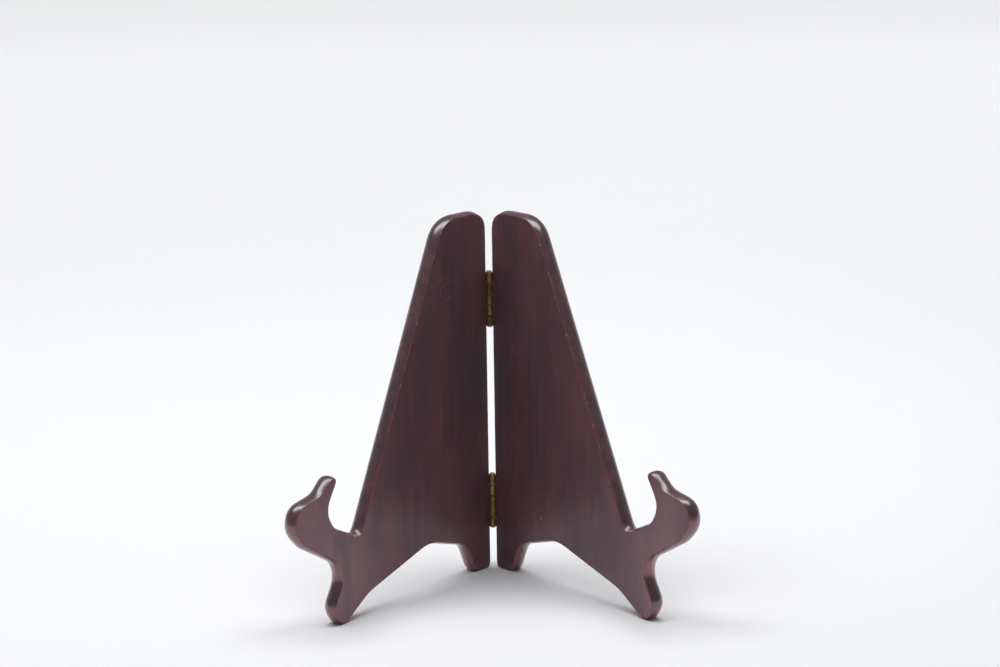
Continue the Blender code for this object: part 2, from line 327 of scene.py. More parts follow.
def nose_share(a):
    """How much of the bullnose an edge point gets: none on the square rear edge."""
    x = min(1.0, max(0.0, (a - REAR_EDGE) / NOSE_FADE))
    return x * x * (3 - 2 * x)


def smoothed(values):
    """Running mean of values round the outline."""
    count = len(values)
    nearby = range(-SMOOTHING_REACH, SMOOTHING_REACH + 1)
    return [sum(values[(i + k) % count] for k in nearby) / len(nearby) for i in range(count)]


def bullnose_room(outline, normals, reach):
    """Shares, 0 to 1, of the bullnose and of the outer insets that fit at each outline point;
    `reach` is the offset of the bullnose's last row."""
    radii = inscribed_radius(outline, normals)
    room = smoothed([min(1.0, NOSE_ROOM * radius / -reach) for radius in radii])
    spare = [INSET_ROOM * (radius + reach * share) for radius, share in zip(radii, room)]
    return room, smoothed([min(1.0, max(0.0, width)) for width in spare])


def blend(share, first, second):
    return share * first + (1 - share) * second


def profile_distances(rows, zero):
    """Distance along a profile from its row `zero`, negative before it."""
    lengths = [0.0]
    for before, after in zip(rows, rows[1:]):
        lengths.append(lengths[-1] + (after - before).length)
    return [length - lengths[zero] for length in lengths]


# ---------------------------------------------------------------- mesh helpers

def new_object(name, mesh, material):
    mesh.materials.clear()
    mesh.materials.append(material)
    obj = bpy.data.objects.new(name, mesh)
    bpy.context.scene.collection.objects.link(obj)
    return obj


def ring_mesh(name, rings, values=None):
    """Closed mesh over equal rings of points with a flat cap at each end. `values` holds float
    attributes as {name: rows of numbers}, one for each point."""
    build = bmesh.new()
    layers = {key: build.verts.layers.float.new(key) for key in values or {}}
    loops = []
    for r, ring in enumerate(rings):
        loop = []
        for i, point in enumerate(ring):
            vertex = build.verts.new(point)
            for key, layer in layers.items():
                vertex[layer] = values[key][r][i]
            loop.append(vertex)
        loops.append(loop)
    count = len(loops[0])
    for lower, upper in zip(loops, loops[1:]):
        for i in range(count):
            j = (i + 1) % count
            build.faces.new((lower[i], lower[j], upper[j], upper[i])).smooth = True
    build.faces.new(reversed(loops[0]))
    build.faces.new(loops[-1])
    bmesh.ops.recalc_face_normals(build, faces=build.faces)
    mesh = bpy.data.meshes.new(name)
    build.to_mesh(mesh)
    build.free()
    return mesh


def keep_place(mesh, own=0.0):
    """Stores each point's (a, t, z) and the piece's own number as attributes: patterns stay on
    the piece as it moves, and pieces with the same shape differ."""
    spots = [0.0] * (3 * len(mesh.vertices))
    mesh.vertices.foreach_get("co", spots)
    mesh.attributes.new("place", 'FLOAT_VECTOR', 'POINT').data.foreach_set("vector", spots)
    owns = [float(own)] * len(mesh.vertices)
    mesh.attributes.new("own", 'FLOAT', 'POINT').data.foreach_set("value", owns)


def circle(radius, sides):
    """Evenly spaced points (x, y) of a circle about the origin."""
    angles = [2 * math.pi * i / sides for i in range(sides)]
    return [(radius * math.cos(angle), radius * math.sin(angle)) for angle in angles]


def turned(name, profile, axis="Z"):
    """Solid of revolution through (radius, height) points, on the Z or X axis."""
    rings = []
    for radius, height in profile:
        rings.append([Vector((x, y, height) if axis == "Z" else (height, x, y))
                      for x, y in circle(radius, ROUND_SIDES)])
    return ring_mesh(name, rings)


def joined(mesh, tools, operation):
    """The mesh after an exact Boolean with each tool mesh in turn; the tools are used up."""
    body = bpy.data.objects.new("blank", mesh)
    bpy.context.scene.collection.objects.link(body)
    helpers = []
    for tool in tools:
        helper = bpy.data.objects.new("tool", tool)
        bpy.context.scene.collection.objects.link(helper)
        change = body.modifiers.new("change", 'BOOLEAN')
        change.operation = operation
        change.solver = 'EXACT'
        change.object = helper
        helpers.append(helper)
    bpy.context.view_layer.update()
    evaluated = body.evaluated_get(bpy.context.evaluated_depsgraph_get())
    result = bpy.data.meshes.new_from_object(evaluated)
    for obj in [body] + helpers:
        used = obj.data
        bpy.data.objects.remove(obj, do_unlink=True)
        bpy.data.meshes.remove(used)
    return result


def placed(mesh, name, own, matrix, mirrored=False):
    """Finishes a drawn piece: its name, its own places, its place in the frame, and smooth
    shading that stays crisp at real corners."""
    mesh.name = name
    keep_place(mesh, own)
    mesh.transform(matrix)
    if mirrored:
        mesh.flip_normals()
    mesh.shade_smooth()
    mesh.set_sharp_from_angle(angle=SHARP_ANGLE)
    return mesh


# ---------------------------------------------------------------- shader helpers

MIX_SHARE, MIX_FIRST, MIX_SECOND, MIX_RESULT = 0, 6, 7, 2    # colour sockets of a Mix node
SPOT_CORE = 0.6
EVEN = (1.0, 1.0, 1.0)


class Shader:
    """One node material; every call adds a node and returns the socket it gives."""

    def __init__(self, name):
        self.material = bpy.data.materials.new(name)
        self.material.use_nodes = True
        self.tree = self.material.node_tree
        self.surface = self.tree.nodes["Principled BSDF"]

    def node(self, kind, inputs=(), out=0, **settings):
        node = self.tree.nodes.new(kind)
        for key, value in settings.items():
            setattr(node, key, value)
        for key, value in dict(inputs).items():
            self.put(node.inputs[key], value)
        return node.outputs[out]

    def put(self, socket, value):
        if isinstance(value, bpy.types.NodeSocket):
            self.tree.links.new(value, socket)
        else:
            socket.default_value = value

    def attribute(self, name, out="Fac"):
        return self.node("ShaderNodeAttribute", attribute_name=name, out=out)

    def math(self, operation, *values, clamp=False):
        inputs = dict(enumerate(values))
        return self.node("ShaderNodeMath", inputs, operation=operation, use_clamp=clamp)

    def vector(self, operation, *values):
        return self.node("ShaderNodeVectorMath", dict(enumerate(values)), operation=operation)

    def axes(self, vector):
        """The X, Y and Z parts of a vector."""
        return tuple(self.node("ShaderNodeSeparateXYZ", {0: vector}).node.outputs)

    def joined_axes(self, *parts):
        return self.node("ShaderNodeCombineXYZ", dict(enumerate(parts)))

    def length(self, vector):
        return self.node("ShaderNodeVectorMath", {0: vector}, out="Value", operation='LENGTH')

    def noise(self, place, pattern, shift=0.0):
        """Noise after a pattern (cells per unit, stretch, detail, shift)."""
        scale, stretch, detail, own_shift = pattern
        moved = self.vector('MULTIPLY', place, stretch)
        moved = self.vector('ADD', moved, (own_shift + shift,) * 3)
        inputs = {"Vector": moved, "Scale": scale, "Detail": detail}
        return self.node("ShaderNodeTexNoise", inputs)

    def own_place(self):
        """The place on a piece, moved by the piece's own number."""
        own = self.attribute("own")
        apart = self.joined_axes(own, own, own)
        return self.vector('ADD', self.attribute("place", "Vector"), apart)

    def spots(self, place, scale, size, shift=0.0):
        """1 inside small round spots, one in each cell at most, 0 outside."""
        moved = self.vector('ADD', place, (shift,) * 3)
        inputs = {"Vector": moved, "Scale": scale}
        near = self.node("ShaderNodeTexVoronoi", inputs, feature='F1')
        return self.band(near, size, size * SPOT_CORE)

    def band(self, value, low, high, to_low=0.0, to_high=1.0):
        """Smooth step of a value from to_low at low to to_high at high."""
        if low > high:
            low, high, to_low, to_high = high, low, to_high, to_low
        inputs = {"Value": value, "From Min": low, "From Max": high,
                  "To Min": to_low, "To Max": to_high}
        return self.node("ShaderNodeMapRange", inputs, interpolation_type='SMOOTHSTEP')

    def mix(self, share, first, second, blend_type='MIX'):
        inputs = {MIX_SHARE: share, MIX_FIRST: first, MIX_SECOND: second}
        return self.node("ShaderNodeMix", inputs, out=MIX_RESULT, data_type='RGBA',
                         blend_type=blend_type)

    def bump(self, height, strength, distance, normal=None):
        inputs = {"Height": height, "Strength": strength, "Distance": distance}
        if normal is not None:
            inputs["Normal"] = normal
        return self.node("ShaderNodeBump", inputs)

    def finish(self, **values):
        for key, value in values.items():
            self.put(self.surface.inputs[key.replace("_", " ")], value)
        return self.material


def rgb(red, green, blue):
    return (red, green, blue, 1.0)


# ---------------------------------------------------------------- stained hardwood

WOOD_FACE = rgb(0.222, 0.132, 0.152)
# Dark tone of the faces: random clouds, and painted shade towards the hinge
WOOD_FACE_DARK_AND_SHADE = rgb(0.072, 0.042, 0.050)
WOOD_NOSE = rgb(0.060, 0.028, 0.034)
WOOD_RED = rgb(0.225, 0.068, 0.082)
# Red of the rounded edge: rubbed mottle, and painted light on its sides
WOOD_RED_RUBBED_AND_LIT = rgb(0.260, 0.062, 0.078)
WOOD_WORN = rgb(0.190, 0.040, 0.048)
WOOD_BARE = rgb(0.480, 0.190, 0.140)
WOOD_SPECK = rgb(0.420, 0.330, 0.340)
WOOD_LINE = rgb(0.500, 0.420, 0.450)                 # multiplied into the stain
WOOD_PORE = rgb(0.012, 0.006, 0.008)

# Noise patterns as (cells per mm, stretch, detail, shift); the grain runs up the board
GRAIN_STRETCH = (1.0, 1.0, 0.06)
HAND_STRETCH = (1.0, 1.0, 0.6)
STREAKS = (0.30, GRAIN_STRETCH, 3.0, 0.0)
CLOUDS = (0.06, (1.0, 1.0, 0.35), 2.0, 7.0)
FINE_GRAIN = (3.2, GRAIN_STRETCH, 3.0, 3.0)
PORES = (5.0, (1.0, 1.0, 0.10), 2.0, 11.0)
MOTTLE = (0.22, HAND_STRETCH, 3.0, 19.0)
ARRIS_WEAR = (0.16, (1.0, 0.2, 1.0), 3.0, 29.0)
ARRIS_RAGS = (1.1, EVEN, 2.0, 31.0)
CHIPS = (0.55, EVEN, 3.0, 37.0)
HANDWORK = (0.22, HAND_STRETCH, 2.0, 41.0)
HANDLED = (0.05, EVEN, 1.0, 43.0)
SCRATCHES = (1.5, (1.0, 1.0, 0.3), 2.0, 47.0)
SPECKS = (0.19, 0.044)                               # cells per mm, size in cells
SPECK_SHIFT = 2.0
WOOD_SHIFTS = {"left": 50.0, "right": 130.0}

# Smooth steps of a noise or of a place in mm, as (from, to, share at from, share at to)
CLOUD_DARK = (0.35, 0.66, 0.0, 0.6)
# Painted shade: the faces darken towards the hinge, by mm from the pin
HINGE_PAINTED_SHADE = (116.0, 64.0, 0.0, 0.86)
STREAK_RED = (0.44, 0.76, 0.0, 0.36)
EDGE_RED = (-3.0, -0.2, 0.0, 0.40)
EDGE_RED_CLOUDS = (0.30, 0.60, 1.0, 0.25)
# Painted light: the rounded edge redder where it faces sideways
SIDE_PAINTED_LIGHT = (0.40, -0.15, 0.0, 0.72)                 # by how far the surface faces up
# Painted shade: less red under the rounded edge
UNDERSIDE_PAINTED_SHADE = (-0.20, -0.65, 1.0, 0.40)
MOTTLE_GLOW = (0.35, 0.70, -0.08, 0.22)
LINE_DARK = (0.56, 0.72, 0.0, 0.22)
PORE_OPEN = (0.66, 0.74)
ARRIS_WIDTH = (0.38, 0.70, 0.12, 0.50)
ARRIS_RAGGED = (0.3, 0.7, -0.08, 0.18)
ARRIS_FADE = (0.0, 0.6)
CHIP_OPEN = (0.56, 0.64)
CORNER_RUBBED = (0.40, 0.62)
HANDLED_PARTS = (0.64, 0.72)
SCRATCH_PALE = (0.60, 0.70, 0.0, 0.32)
FACE_ROUGH = (0.30, 0.75, 0.40, 0.52)

NOSE_CLOSED = 0.88                                   # share of the grain that the nose hides
PORE_DARK = 0.6
ARRIS_WORN = 0.85
CHIP_BARE = 0.75
CORNER_WORN = 0.7
SPECK_PALE = 0.65
NOSE_SMOOTHER = 0.12
PORE_ROUGHER = 0.18
ARRIS_ROUGHER = 0.08
PORE_HEIGHT = -1.0
GRAIN_HEIGHT = 0.35
CHIP_HEIGHT = -0.8
FINE_RELIEF = (0.30, 0.00006)                        # strength, height in metres
HAND_RELIEF = (0.35, 0.0006)
LACQUER_NOSE = 0.80
LACQUER_FACE = 0.15
LACQUER_ROUGHNESS = 0.24
LACQUER_IOR = 1.6
WOOD_SPECULAR = 0.5


class StainedWood(Shader):
    """The parts of a board's look; `shift` moves every pattern, so that the boards differ."""

    def __init__(self, name, shift):
        super().__init__(name)
        self.shift = shift
        self.place = self.attribute("place", "Vector")
        self.edge = self.attribute("edge")
        self.nose = self.attribute("nose")
        self.clouds = self.pattern(CLOUDS)
        self.fine = self.pattern(FINE_GRAIN)
        self.mottle = self.pattern(MOTTLE)
        self.wear = self.pattern(ARRIS_WEAR)
        closed = self.math('MULTIPLY', self.nose, NOSE_CLOSED)
        self.open_grain = self.math('SUBTRACT', 1.0, closed)
        pores = self.band(self.pattern(PORES), *PORE_OPEN)
        self.pores = self.math('MULTIPLY', pores, self.open_grain)

    def pattern(self, pattern):
        return self.noise(self.place, pattern, self.shift)

    def face(self):
        """Cloudy stain, painted shade towards the hinge, red in streaks and by the arris."""
        colour = self.mix(self.band(self.clouds, *CLOUD_DARK), WOOD_FACE, WOOD_FACE_DARK_AND_SHADE)
        forward = self.axes(self.place)[0]
        # Painted shade, darkening the face towards the hinge
        colour = self.mix(self.band(forward, *HINGE_PAINTED_SHADE), colour, WOOD_FACE_DARK_AND_SHADE)
        colour = self.mix(self.band(self.pattern(STREAKS), *STREAK_RED), colour, WOOD_RED)
        near_edge = self.math('MULTIPLY', self.band(self.edge, *EDGE_RED),
                              self.band(self.clouds, *EDGE_RED_CLOUDS))
        return self.mix(near_edge, colour, WOOD_RED)

    def bullnose(self):
        """Dark stain with rubbed red mottle, painted light on its sides, painted shade under it.
        """
        rise = self.axes(self.node("ShaderNodeNewGeometry", out="Normal"))[2]
        # Painted light and shade by which way the surface faces; the mottle is rubbed wear
        rubbed = self.math('ADD', self.band(rise, *SIDE_PAINTED_LIGHT),
                           self.band(self.mottle, *MOTTLE_GLOW), clamp=True)
        rubbed = self.math('MULTIPLY', rubbed, self.band(rise, *UNDERSIDE_PAINTED_SHADE))
        return self.mix(rubbed, WOOD_NOSE, WOOD_RED_RUBBED_AND_LIT)

    def grained(self, colour):
        """A colour with fine dark lines and pores, which the bullnose hardly shows."""
        lines = self.math('MULTIPLY', self.band(self.fine, *LINE_DARK), self.open_grain)
        colour = self.mix(lines, colour, WOOD_LINE, 'MULTIPLY')
        return self.mix(self.math('MULTIPLY', self.pores, PORE_DARK), colour, WOOD_PORE)

    def arris_line(self):
        """1 along the crisp inner arris, as a ragged line of uneven width, 0 elsewhere."""
        width = self.math('ADD', self.band(self.wear, *ARRIS_WIDTH),
                          self.band(self.pattern(ARRIS_RAGS), *ARRIS_RAGGED))
        off = self.math('DIVIDE', self.math('ABSOLUTE', self.edge), width)
        return self.band(self.math('SUBTRACT', 1.0, off, clamp=True), *ARRIS_FADE)

    def bare_chips(self, line):
        """Bare wood in a few places along the arris."""
        chips = self.math('MULTIPLY', self.band(self.pattern(CHIPS), *CHIP_OPEN), line)
        return self.math('MULTIPLY', chips, CHIP_BARE)

    def rubbed_corners(self):
        """Wear along the corners of the square rear edge."""
        worn_parts = self.band(self.wear, *CORNER_RUBBED)
        rubbed = self.math('MULTIPLY', self.attribute("corner"), worn_parts)
        return self.math('MULTIPLY', rubbed, CORNER_WORN)

    def pale_marks(self):
        """Small pale specks, and short scratches where the board is handled."""
        specks = self.spots(self.place, *SPECKS, self.shift + SPECK_SHIFT)
        handled = self.band(self.pattern(HANDLED), *HANDLED_PARTS)
        scratches = self.band(self.pattern(SCRATCHES), *SCRATCH_PALE)
        return self.math('MAXIMUM', self.math('MULTIPLY', specks, SPECK_PALE),
                         self.math('MULTIPLY', handled, scratches))

    def roughness(self, line):
        """Satin on the faces, smoother on the nose, rougher in pores and on worn wood."""
        rough = self.math('SUBTRACT', self.band(self.mottle, *FACE_ROUGH),
                          self.math('MULTIPLY', self.nose, NOSE_SMOOTHER))
        rough = self.math('ADD', rough, self.math('MULTIPLY', self.pores, PORE_ROUGHER))
        return self.math('ADD', rough, self.math('MULTIPLY', line, ARRIS_ROUGHER))

    def relief(self, bare):
        """Sunken pores, grain and chips on a slightly uneven, hand-worked surface."""
        grain = self.math('MULTIPLY', self.fine, GRAIN_HEIGHT)
        grain = self.math('MULTIPLY', grain, self.open_grain)
        height = self.math('ADD', self.math('MULTIPLY', self.pores, PORE_HEIGHT), grain)
        height = self.math('ADD', height, self.math('MULTIPLY', bare, CHIP_HEIGHT))
        fine = self.bump(height, *FINE_RELIEF)
        return self.bump(self.pattern(HANDWORK), *HAND_RELIEF, fine)


def stained_wood(name, shift):
    """Dark mahogany stain under satin lacquer, worn red along the arrises, with painted shade and
    painted light.
    """
    s = StainedWood(name, shift)
    line = s.arris_line()
    bare = s.bare_chips(line)
    colour = s.grained(s.mix(s.nose, s.face(), s.bullnose()))
    colour = s.mix(s.math('MULTIPLY', line, ARRIS_WORN), colour, WOOD_WORN)
    colour = s.mix(bare, colour, WOOD_BARE)
    colour = s.mix(s.rubbed_corners(), colour, WOOD_WORN)
    colour = s.mix(s.pale_marks(), colour, WOOD_SPECK)
    lacquer = s.math('ADD', s.math('MULTIPLY', s.nose, LACQUER_NOSE), LACQUER_FACE)
    return s.finish(Base_Color=colour, Roughness=s.roughness(line), Normal=s.relief(bare),
                    Specular_IOR_Level=WOOD_SPECULAR, Coat_Weight=lacquer,
                    Coat_Roughness=LACQUER_ROUGHNESS, Coat_IOR=LACQUER_IOR)


# ---------------------------------------------------------------- brass

BRASS = rgb(0.530, 0.360, 0.140)
BRASS_DULL = rgb(0.240, 0.155, 0.070)
BRASS_BRIGHT = rgb(0.800, 0.600, 0.300)
BRASS_GRIME = rgb(0.050, 0.034, 0.022)

# Noise patterns as (cells per mm, stretch, detail, shift)
PATCHES = (0.17, EVEN, 5.0, 0.0)
BRUSHING = (9.0, (1.0, 1.0, 0.03), 2.0, 5.0)
FLECKS = (4.0, EVEN, 4.0, 9.0)
TURNED_PATCHES = (0.40, EVEN, 4.0, 13.0)
TARNISH = (0.15, EVEN, 3.0, 17.0)
LATHE_RINGS = 34.0                                   # radians per mm
MIRRORED_SHIFT = 100.0                               # added to a mirrored leaf's own number

# Smooth steps of a noise or of a place in mm, as (from, to, share at from, share at to)
SHEET_DULL = (0.36, 0.66)
BRUSH_BRIGHT = (0.45, 0.7)
RIM_WEAR = (-0.35, -0.05)
SCREW_GRIME = (2.7, 1.9)
SCREW_FLECKS = (0.25, 0.62)
GROOVE_GRIME = (2.9, 1.9)
GROOVE_SIDE = (0.2, 0.8)
FLECKED = (0.3, 0.6)
SHEET_ROUGH = (0.36, 0.70, 0.30, 0.52)
BRUSH_ROUGH = (0.3, 0.7, 0.0, 0.08)
TURNED_DULL = (0.35, 0.65)
TARNISH_DULL = (0.45, 0.72, 0.0, 0.8)
TURNED_ROUGH = (0.3, 0.7, 0.24, 0.40)
SLOT_GRIME = (0.10, 0.36)
JOINT_GRIME = (1.05, 0.90, 0.0, 0.5)

BRUSH_SHARE = 0.25
RIM_BRIGHT = 0.8
GRIME_DARK = 0.8
GRIME_ROUGHER = 0.25
SUNK_DARK = 0.9
SUNK_ROUGHER = 0.3
BRUSH_RELIEF = (0.35, 0.00002)                       # strength, height in metres
FLECK_RELIEF = (0.25, 0.00006)
RING_RELIEF = (0.12, 0.00001)
PATCH_RELIEF = (0.3, 0.00003)


def rolled_brass(name):
    """Satin sheet brass, tarnished unevenly, brighter along its edges, dark round the screws."""
    s = Shader(name)
    own_place = s.own_place()
    patches = s.noise(own_place, PATCHES)
    brushing = s.noise(own_place, BRUSHING)
    flecks = s.noise(own_place, FLECKS)
    forward, across, up = s.axes(s.attribute("place", "Vector"))
    up = s.math('ABSOLUTE', up)

    colour = s.mix(s.band(patches, *SHEET_DULL), BRASS, BRASS_DULL)
    bright = s.math('MULTIPLY', s.band(brushing, *BRUSH_BRIGHT), BRUSH_SHARE)
    colour = s.mix(bright, colour, BRASS_BRIGHT)
    past_rim = s.math('MAXIMUM', s.math('SUBTRACT', up, HINGE_HEIGHT / 2),
                      s.math('SUBTRACT', across, LEAF_WIDTH))
    worn = s.math('MULTIPLY', s.band(past_rim, *RIM_WEAR), s.band(flecks, *FLECKED))
    colour = s.mix(s.math('MULTIPLY', worn, RIM_BRIGHT), colour, BRASS_BRIGHT)

    off_screw = s.length(s.joined_axes(0.0, s.math('SUBTRACT', across, SCREW_DEPTH),
                                       s.math('SUBTRACT', up, SCREW_SPREAD)))
    ring = s.math('MULTIPLY', s.band(off_screw, *SCREW_GRIME), s.band(flecks, *SCREW_FLECKS))
    groove = s.math('MULTIPLY', s.band(across, *GROOVE_GRIME), s.band(forward, *GROOVE_SIDE))
    groove = s.math('MULTIPLY', groove, s.band(flecks, *FLECKED))
    grime = s.math('MAXIMUM', ring, groove)
    colour = s.mix(s.math('MULTIPLY', grime, GRIME_DARK), colour, BRASS_GRIME)

    rough = s.math('ADD', s.band(patches, *SHEET_ROUGH), s.band(brushing, *BRUSH_ROUGH))
    rough = s.math('ADD', rough, s.math('MULTIPLY', grime, GRIME_ROUGHER))
    relief = s.bump(flecks, *FLECK_RELIEF, s.bump(brushing, *BRUSH_RELIEF))
    return s.finish(Base_Color=colour, Roughness=rough, Normal=relief, Metallic=1.0)


def turned_brass(name, axis):
    """Lathe-turned brass: fine rings about its axis, tarnish, and grime in the slot or joint."""
    s = Shader(name)
    own_place = s.own_place()
    patches = s.noise(own_place, TURNED_PATCHES)
    tarnish = s.band(s.noise(own_place, TARNISH), *TARNISH_DULL)
    x, y, z = s.axes(s.attribute("place", "Vector"))
    first, second, depth = (y, z, x) if axis == "X" else (x, y, z)
    radius = s.length(s.joined_axes(first, second))
    if axis == "X":
        sunk = s.band(depth, *SLOT_GRIME)
    else:
        sunk = s.band(radius, *JOINT_GRIME)

    colour = s.mix(s.band(patches, *TURNED_DULL), BRASS_BRIGHT, BRASS)
    colour = s.mix(tarnish, colour, BRASS_DULL)
    colour = s.mix(s.math('MULTIPLY', sunk, SUNK_DARK), colour, BRASS_GRIME)
    rough = s.math('ADD', s.band(patches, *TURNED_ROUGH), s.math('MULTIPLY', sunk, SUNK_ROUGHER))
    rings = s.math('SINE', s.math('MULTIPLY', radius, LATHE_RINGS))
    relief = s.bump(patches, *PATCH_RELIEF, s.bump(rings, *RING_RELIEF))
    return s.finish(Base_Color=colour, Roughness=rough, Normal=relief, Metallic=1.0)


# ---------------------------------------------------------------- pieces

def board_mesh(name, mirrored):
    """One board with its hand-worked bullnose, crisp inner arris and soft outer shoulder."""
    outline = board_outline()
    normals = outward_normals(outline)
    nose, square = nose_profile(), square_profile()
    insets = len(FACE_INSETS)
    first, last = insets, len(nose) - 1 - insets
    arris = first + ARRIS_STEPS // 2
    along_nose = profile_distances(nose, arris)
    along_square = profile_distances(square, arris)
    far_corner = along_square[last - SHOULDER_STEPS // 2]
    room, spare = bullnose_room(outline, normals, nose[last].y)

    def nose_offset(r, i):
        if r < first:
            return nose[first].y * room[i] + (nose[r].y - nose[first].y)
        if r > last:
            return nose[last].y * room[i] + (nose[r].y - nose[last].y) * spare[i]
        return nose[r].y * room[i]

    rings, values = [], {"edge": [], "nose": [], "corner": []}
    for r in range(len(nose)):
        # The rounded part starts past the arris and fades out over the outer insets
        rounded = min(1.0, max(0.0, 1 - (r - last) / insets)) if r > arris else 0.0
        off_corner = min(abs(along_square[r]), abs(far_corner - along_square[r]))
        worn = max(0.0, 1.0 - off_corner / CORNER_WEAR)
        ring, rows = [], {key: [] for key in values}
        for i, (point, normal) in enumerate(zip(outline, normals)):
            share = nose_share(point.x)
            where = point + normal * blend(share, nose_offset(r, i), square[r].y)
            depth = blend(share, nose[r].x, square[r].x)
            ring.append(Vector((where.x, depth + FOLD_GAP, max(0.0, where.y))))
            rows["edge"].append(blend(share, along_nose[r], along_square[r]))
            rows["nose"].append(share * rounded)
            rows["corner"].append((1 - share) * worn)
        rings.append(ring)
        for key, row in rows.items():
            values[key].append(row)
    mesh = ring_mesh(name, rings, values)
    keep_place(mesh)
    mesh.transform(side_matrix(mirrored))
    if mirrored:
        mesh.flip_normals()
    return mesh


def prism(name, outline, low, high, ease, axis):
    """Outline extruded along one axis (0: a, 2: z) with both ends eased."""
    normals = outward_normals([Vector(p) for p in outline])
    area = sum(p[0] * q[1] - q[0] * p[1] for p, q in zip(outline, outline[1:] + outline[:1]))
    sign = -1.0 if area > 0 else 1.0
    rings = []
    for level, inset in ((low, ease), (low + ease, 0.0), (high - ease, 0.0), (high, ease)):
        ring = []
        for point, normal in zip(outline, normals):
            p, q = Vector(point) - normal * sign * inset
            ring.append(Vector((level, p, q)) if axis == 0 else Vector((p, q, level)))
        rings.append(ring)
    return ring_mesh(name, rings)


def arc(radius, first, last, steps):
    return [(radius * math.cos(first + (last - first) * i / steps),
             radius * math.sin(first + (last - first) * i / steps)) for i in range(steps + 1)]


def roll_outline():
    """Section (a, t) of the sheet rolled round the pin, with the seam where its end meets."""
    overlap = LEAF_NOTCH + ROLL_OVERLAP
    back, front = LEAF_BACK - ROLL_SKIN, LEAF_FRONT + ROLL_SKIN
    cut = LEAF_FRONT - SEAM_GAP
    outer_end = math.acos(cut / ROLL_OUTER) - 2 * math.pi
    inner_end = math.acos(cut / ROLL_INNER) - 2 * math.pi
    inner_start = math.acos(front / ROLL_INNER)
    outside = arc(ROLL_OUTER - ROLL_SKIN, 0.0, outer_end, ROLL_OUTER_STEPS)
    inside = arc(ROLL_INNER, inner_end, inner_start, ROLL_INNER_STEPS)
    return [(back, overlap)] + outside + inside + [(front, overlap)]


def knuckle_spans(owner):
    """Lowest and highest z of the knuckles on one leaf, about the hinge's centre."""
    pitch = (HINGE_HEIGHT + KNUCKLE_GAP) / KNUCKLE_COUNT
    spans = []
    for i in range(owner, KNUCKLE_COUNT, 2):
        low = -HINGE_HEIGHT / 2 + i * pitch
        spans.append((low, low + pitch - KNUCKLE_GAP))
    return spans


def plate_outline():
    """Section (t, z) of the flat leaf, with its two far corners rounded."""
    half = HINGE_HEIGHT / 2
    points = [(LEAF_NOTCH, -half)]
    for sign, first in ((-1, -math.pi / 2), (1, 0.0)):
        for p, q in arc(LEAF_CORNER, first, first + math.pi / 2, LEAF_CORNER_STEPS):
            points.append((LEAF_WIDTH - LEAF_CORNER + p, sign * (half - LEAF_CORNER) + q))
    points.append((LEAF_NOTCH, half))
    return points


def leaf_mesh(name, mirrored, centre):
    """Hinge leaf: eased plate, rolled knuckles with a seam, countersunk screw holes."""
    leaf = prism("leaf", plate_outline(), LEAF_FRONT, LEAF_BACK, LEAF_EASE, 0)
    owner = 0 if mirrored else 1
    rolls = [prism("roll", roll_outline(), low, high, ROLL_EASE, 2)
             for low, high in knuckle_spans(owner)]
    leaf = joined(leaf, rolls, 'UNION')
    sinks = []
    for height in (-SCREW_SPREAD, SCREW_SPREAD):
        sink = turned("sink", SINK, axis="X")
        sink.transform(Matrix.Translation((0, SCREW_DEPTH, height)))
        sinks.append(sink)
    leaf = joined(leaf, sinks, 'DIFFERENCE')
    own = centre + (MIRRORED_SHIFT if mirrored else 0.0)
    matrix = side_matrix(mirrored) @ Matrix.Translation((0, 0, centre))
    return placed(leaf, name, own, matrix, mirrored)


def pin_mesh(name, centre):
    """Hinge pin with its two peened, slightly domed ends."""
    reach = HINGE_HEIGHT / 2 + PIN_PLAY
    profile = [(r, -reach - h) for r, h in reversed(PIN_END)]
    profile += [(r, reach + h) for r, h in PIN_END]
    matrix = (Matrix.Translation((PIN.x, PIN.y, 0)) @ Matrix.Scale(MM, 4)
              @ Matrix.Translation((0, 0, centre)))
    return placed(turned("pin", profile), name, centre, matrix)


def screw_mesh(name, mirrored, centre, twist):
    """Slotted countersunk wood screw, its slot turned by `twist`."""
    core = SCREW_SHANK_RADIUS * THREAD_CORE
    profile = list(SCREW_HEAD)
    for i in range(THREAD_TURNS):
        x = THREAD_START + i * THREAD_PITCH
        profile += [(core, x + THREAD_ROOT), (SCREW_SHANK_RADIUS, x + THREAD_CREST)]
    profile += [(core, SCREW_LENGTH - SCREW_POINT), (SCREW_POINT_RADIUS, SCREW_LENGTH)]
    half, reach = SLOT_HALF_WIDTH, SLOT_HALF_LENGTH
    corners = [(-half, -reach), (half, -reach), (half, reach), (-half, reach)]
    slot = prism("slot", corners, *SLOT_DEPTHS, SLOT_EASE, 0)
    screw = joined(turned("screw", profile, axis="X"), [slot], 'DIFFERENCE')
    spot = Vector((LEAF_FRONT + SCREW_SINK, SCREW_DEPTH, centre))
    turn = Matrix.Rotation(math.radians(twist), 4, 'X')
    matrix = side_matrix(mirrored) @ Matrix.Translation(spot) @ turn
    return placed(screw, name, twist, matrix, mirrored)


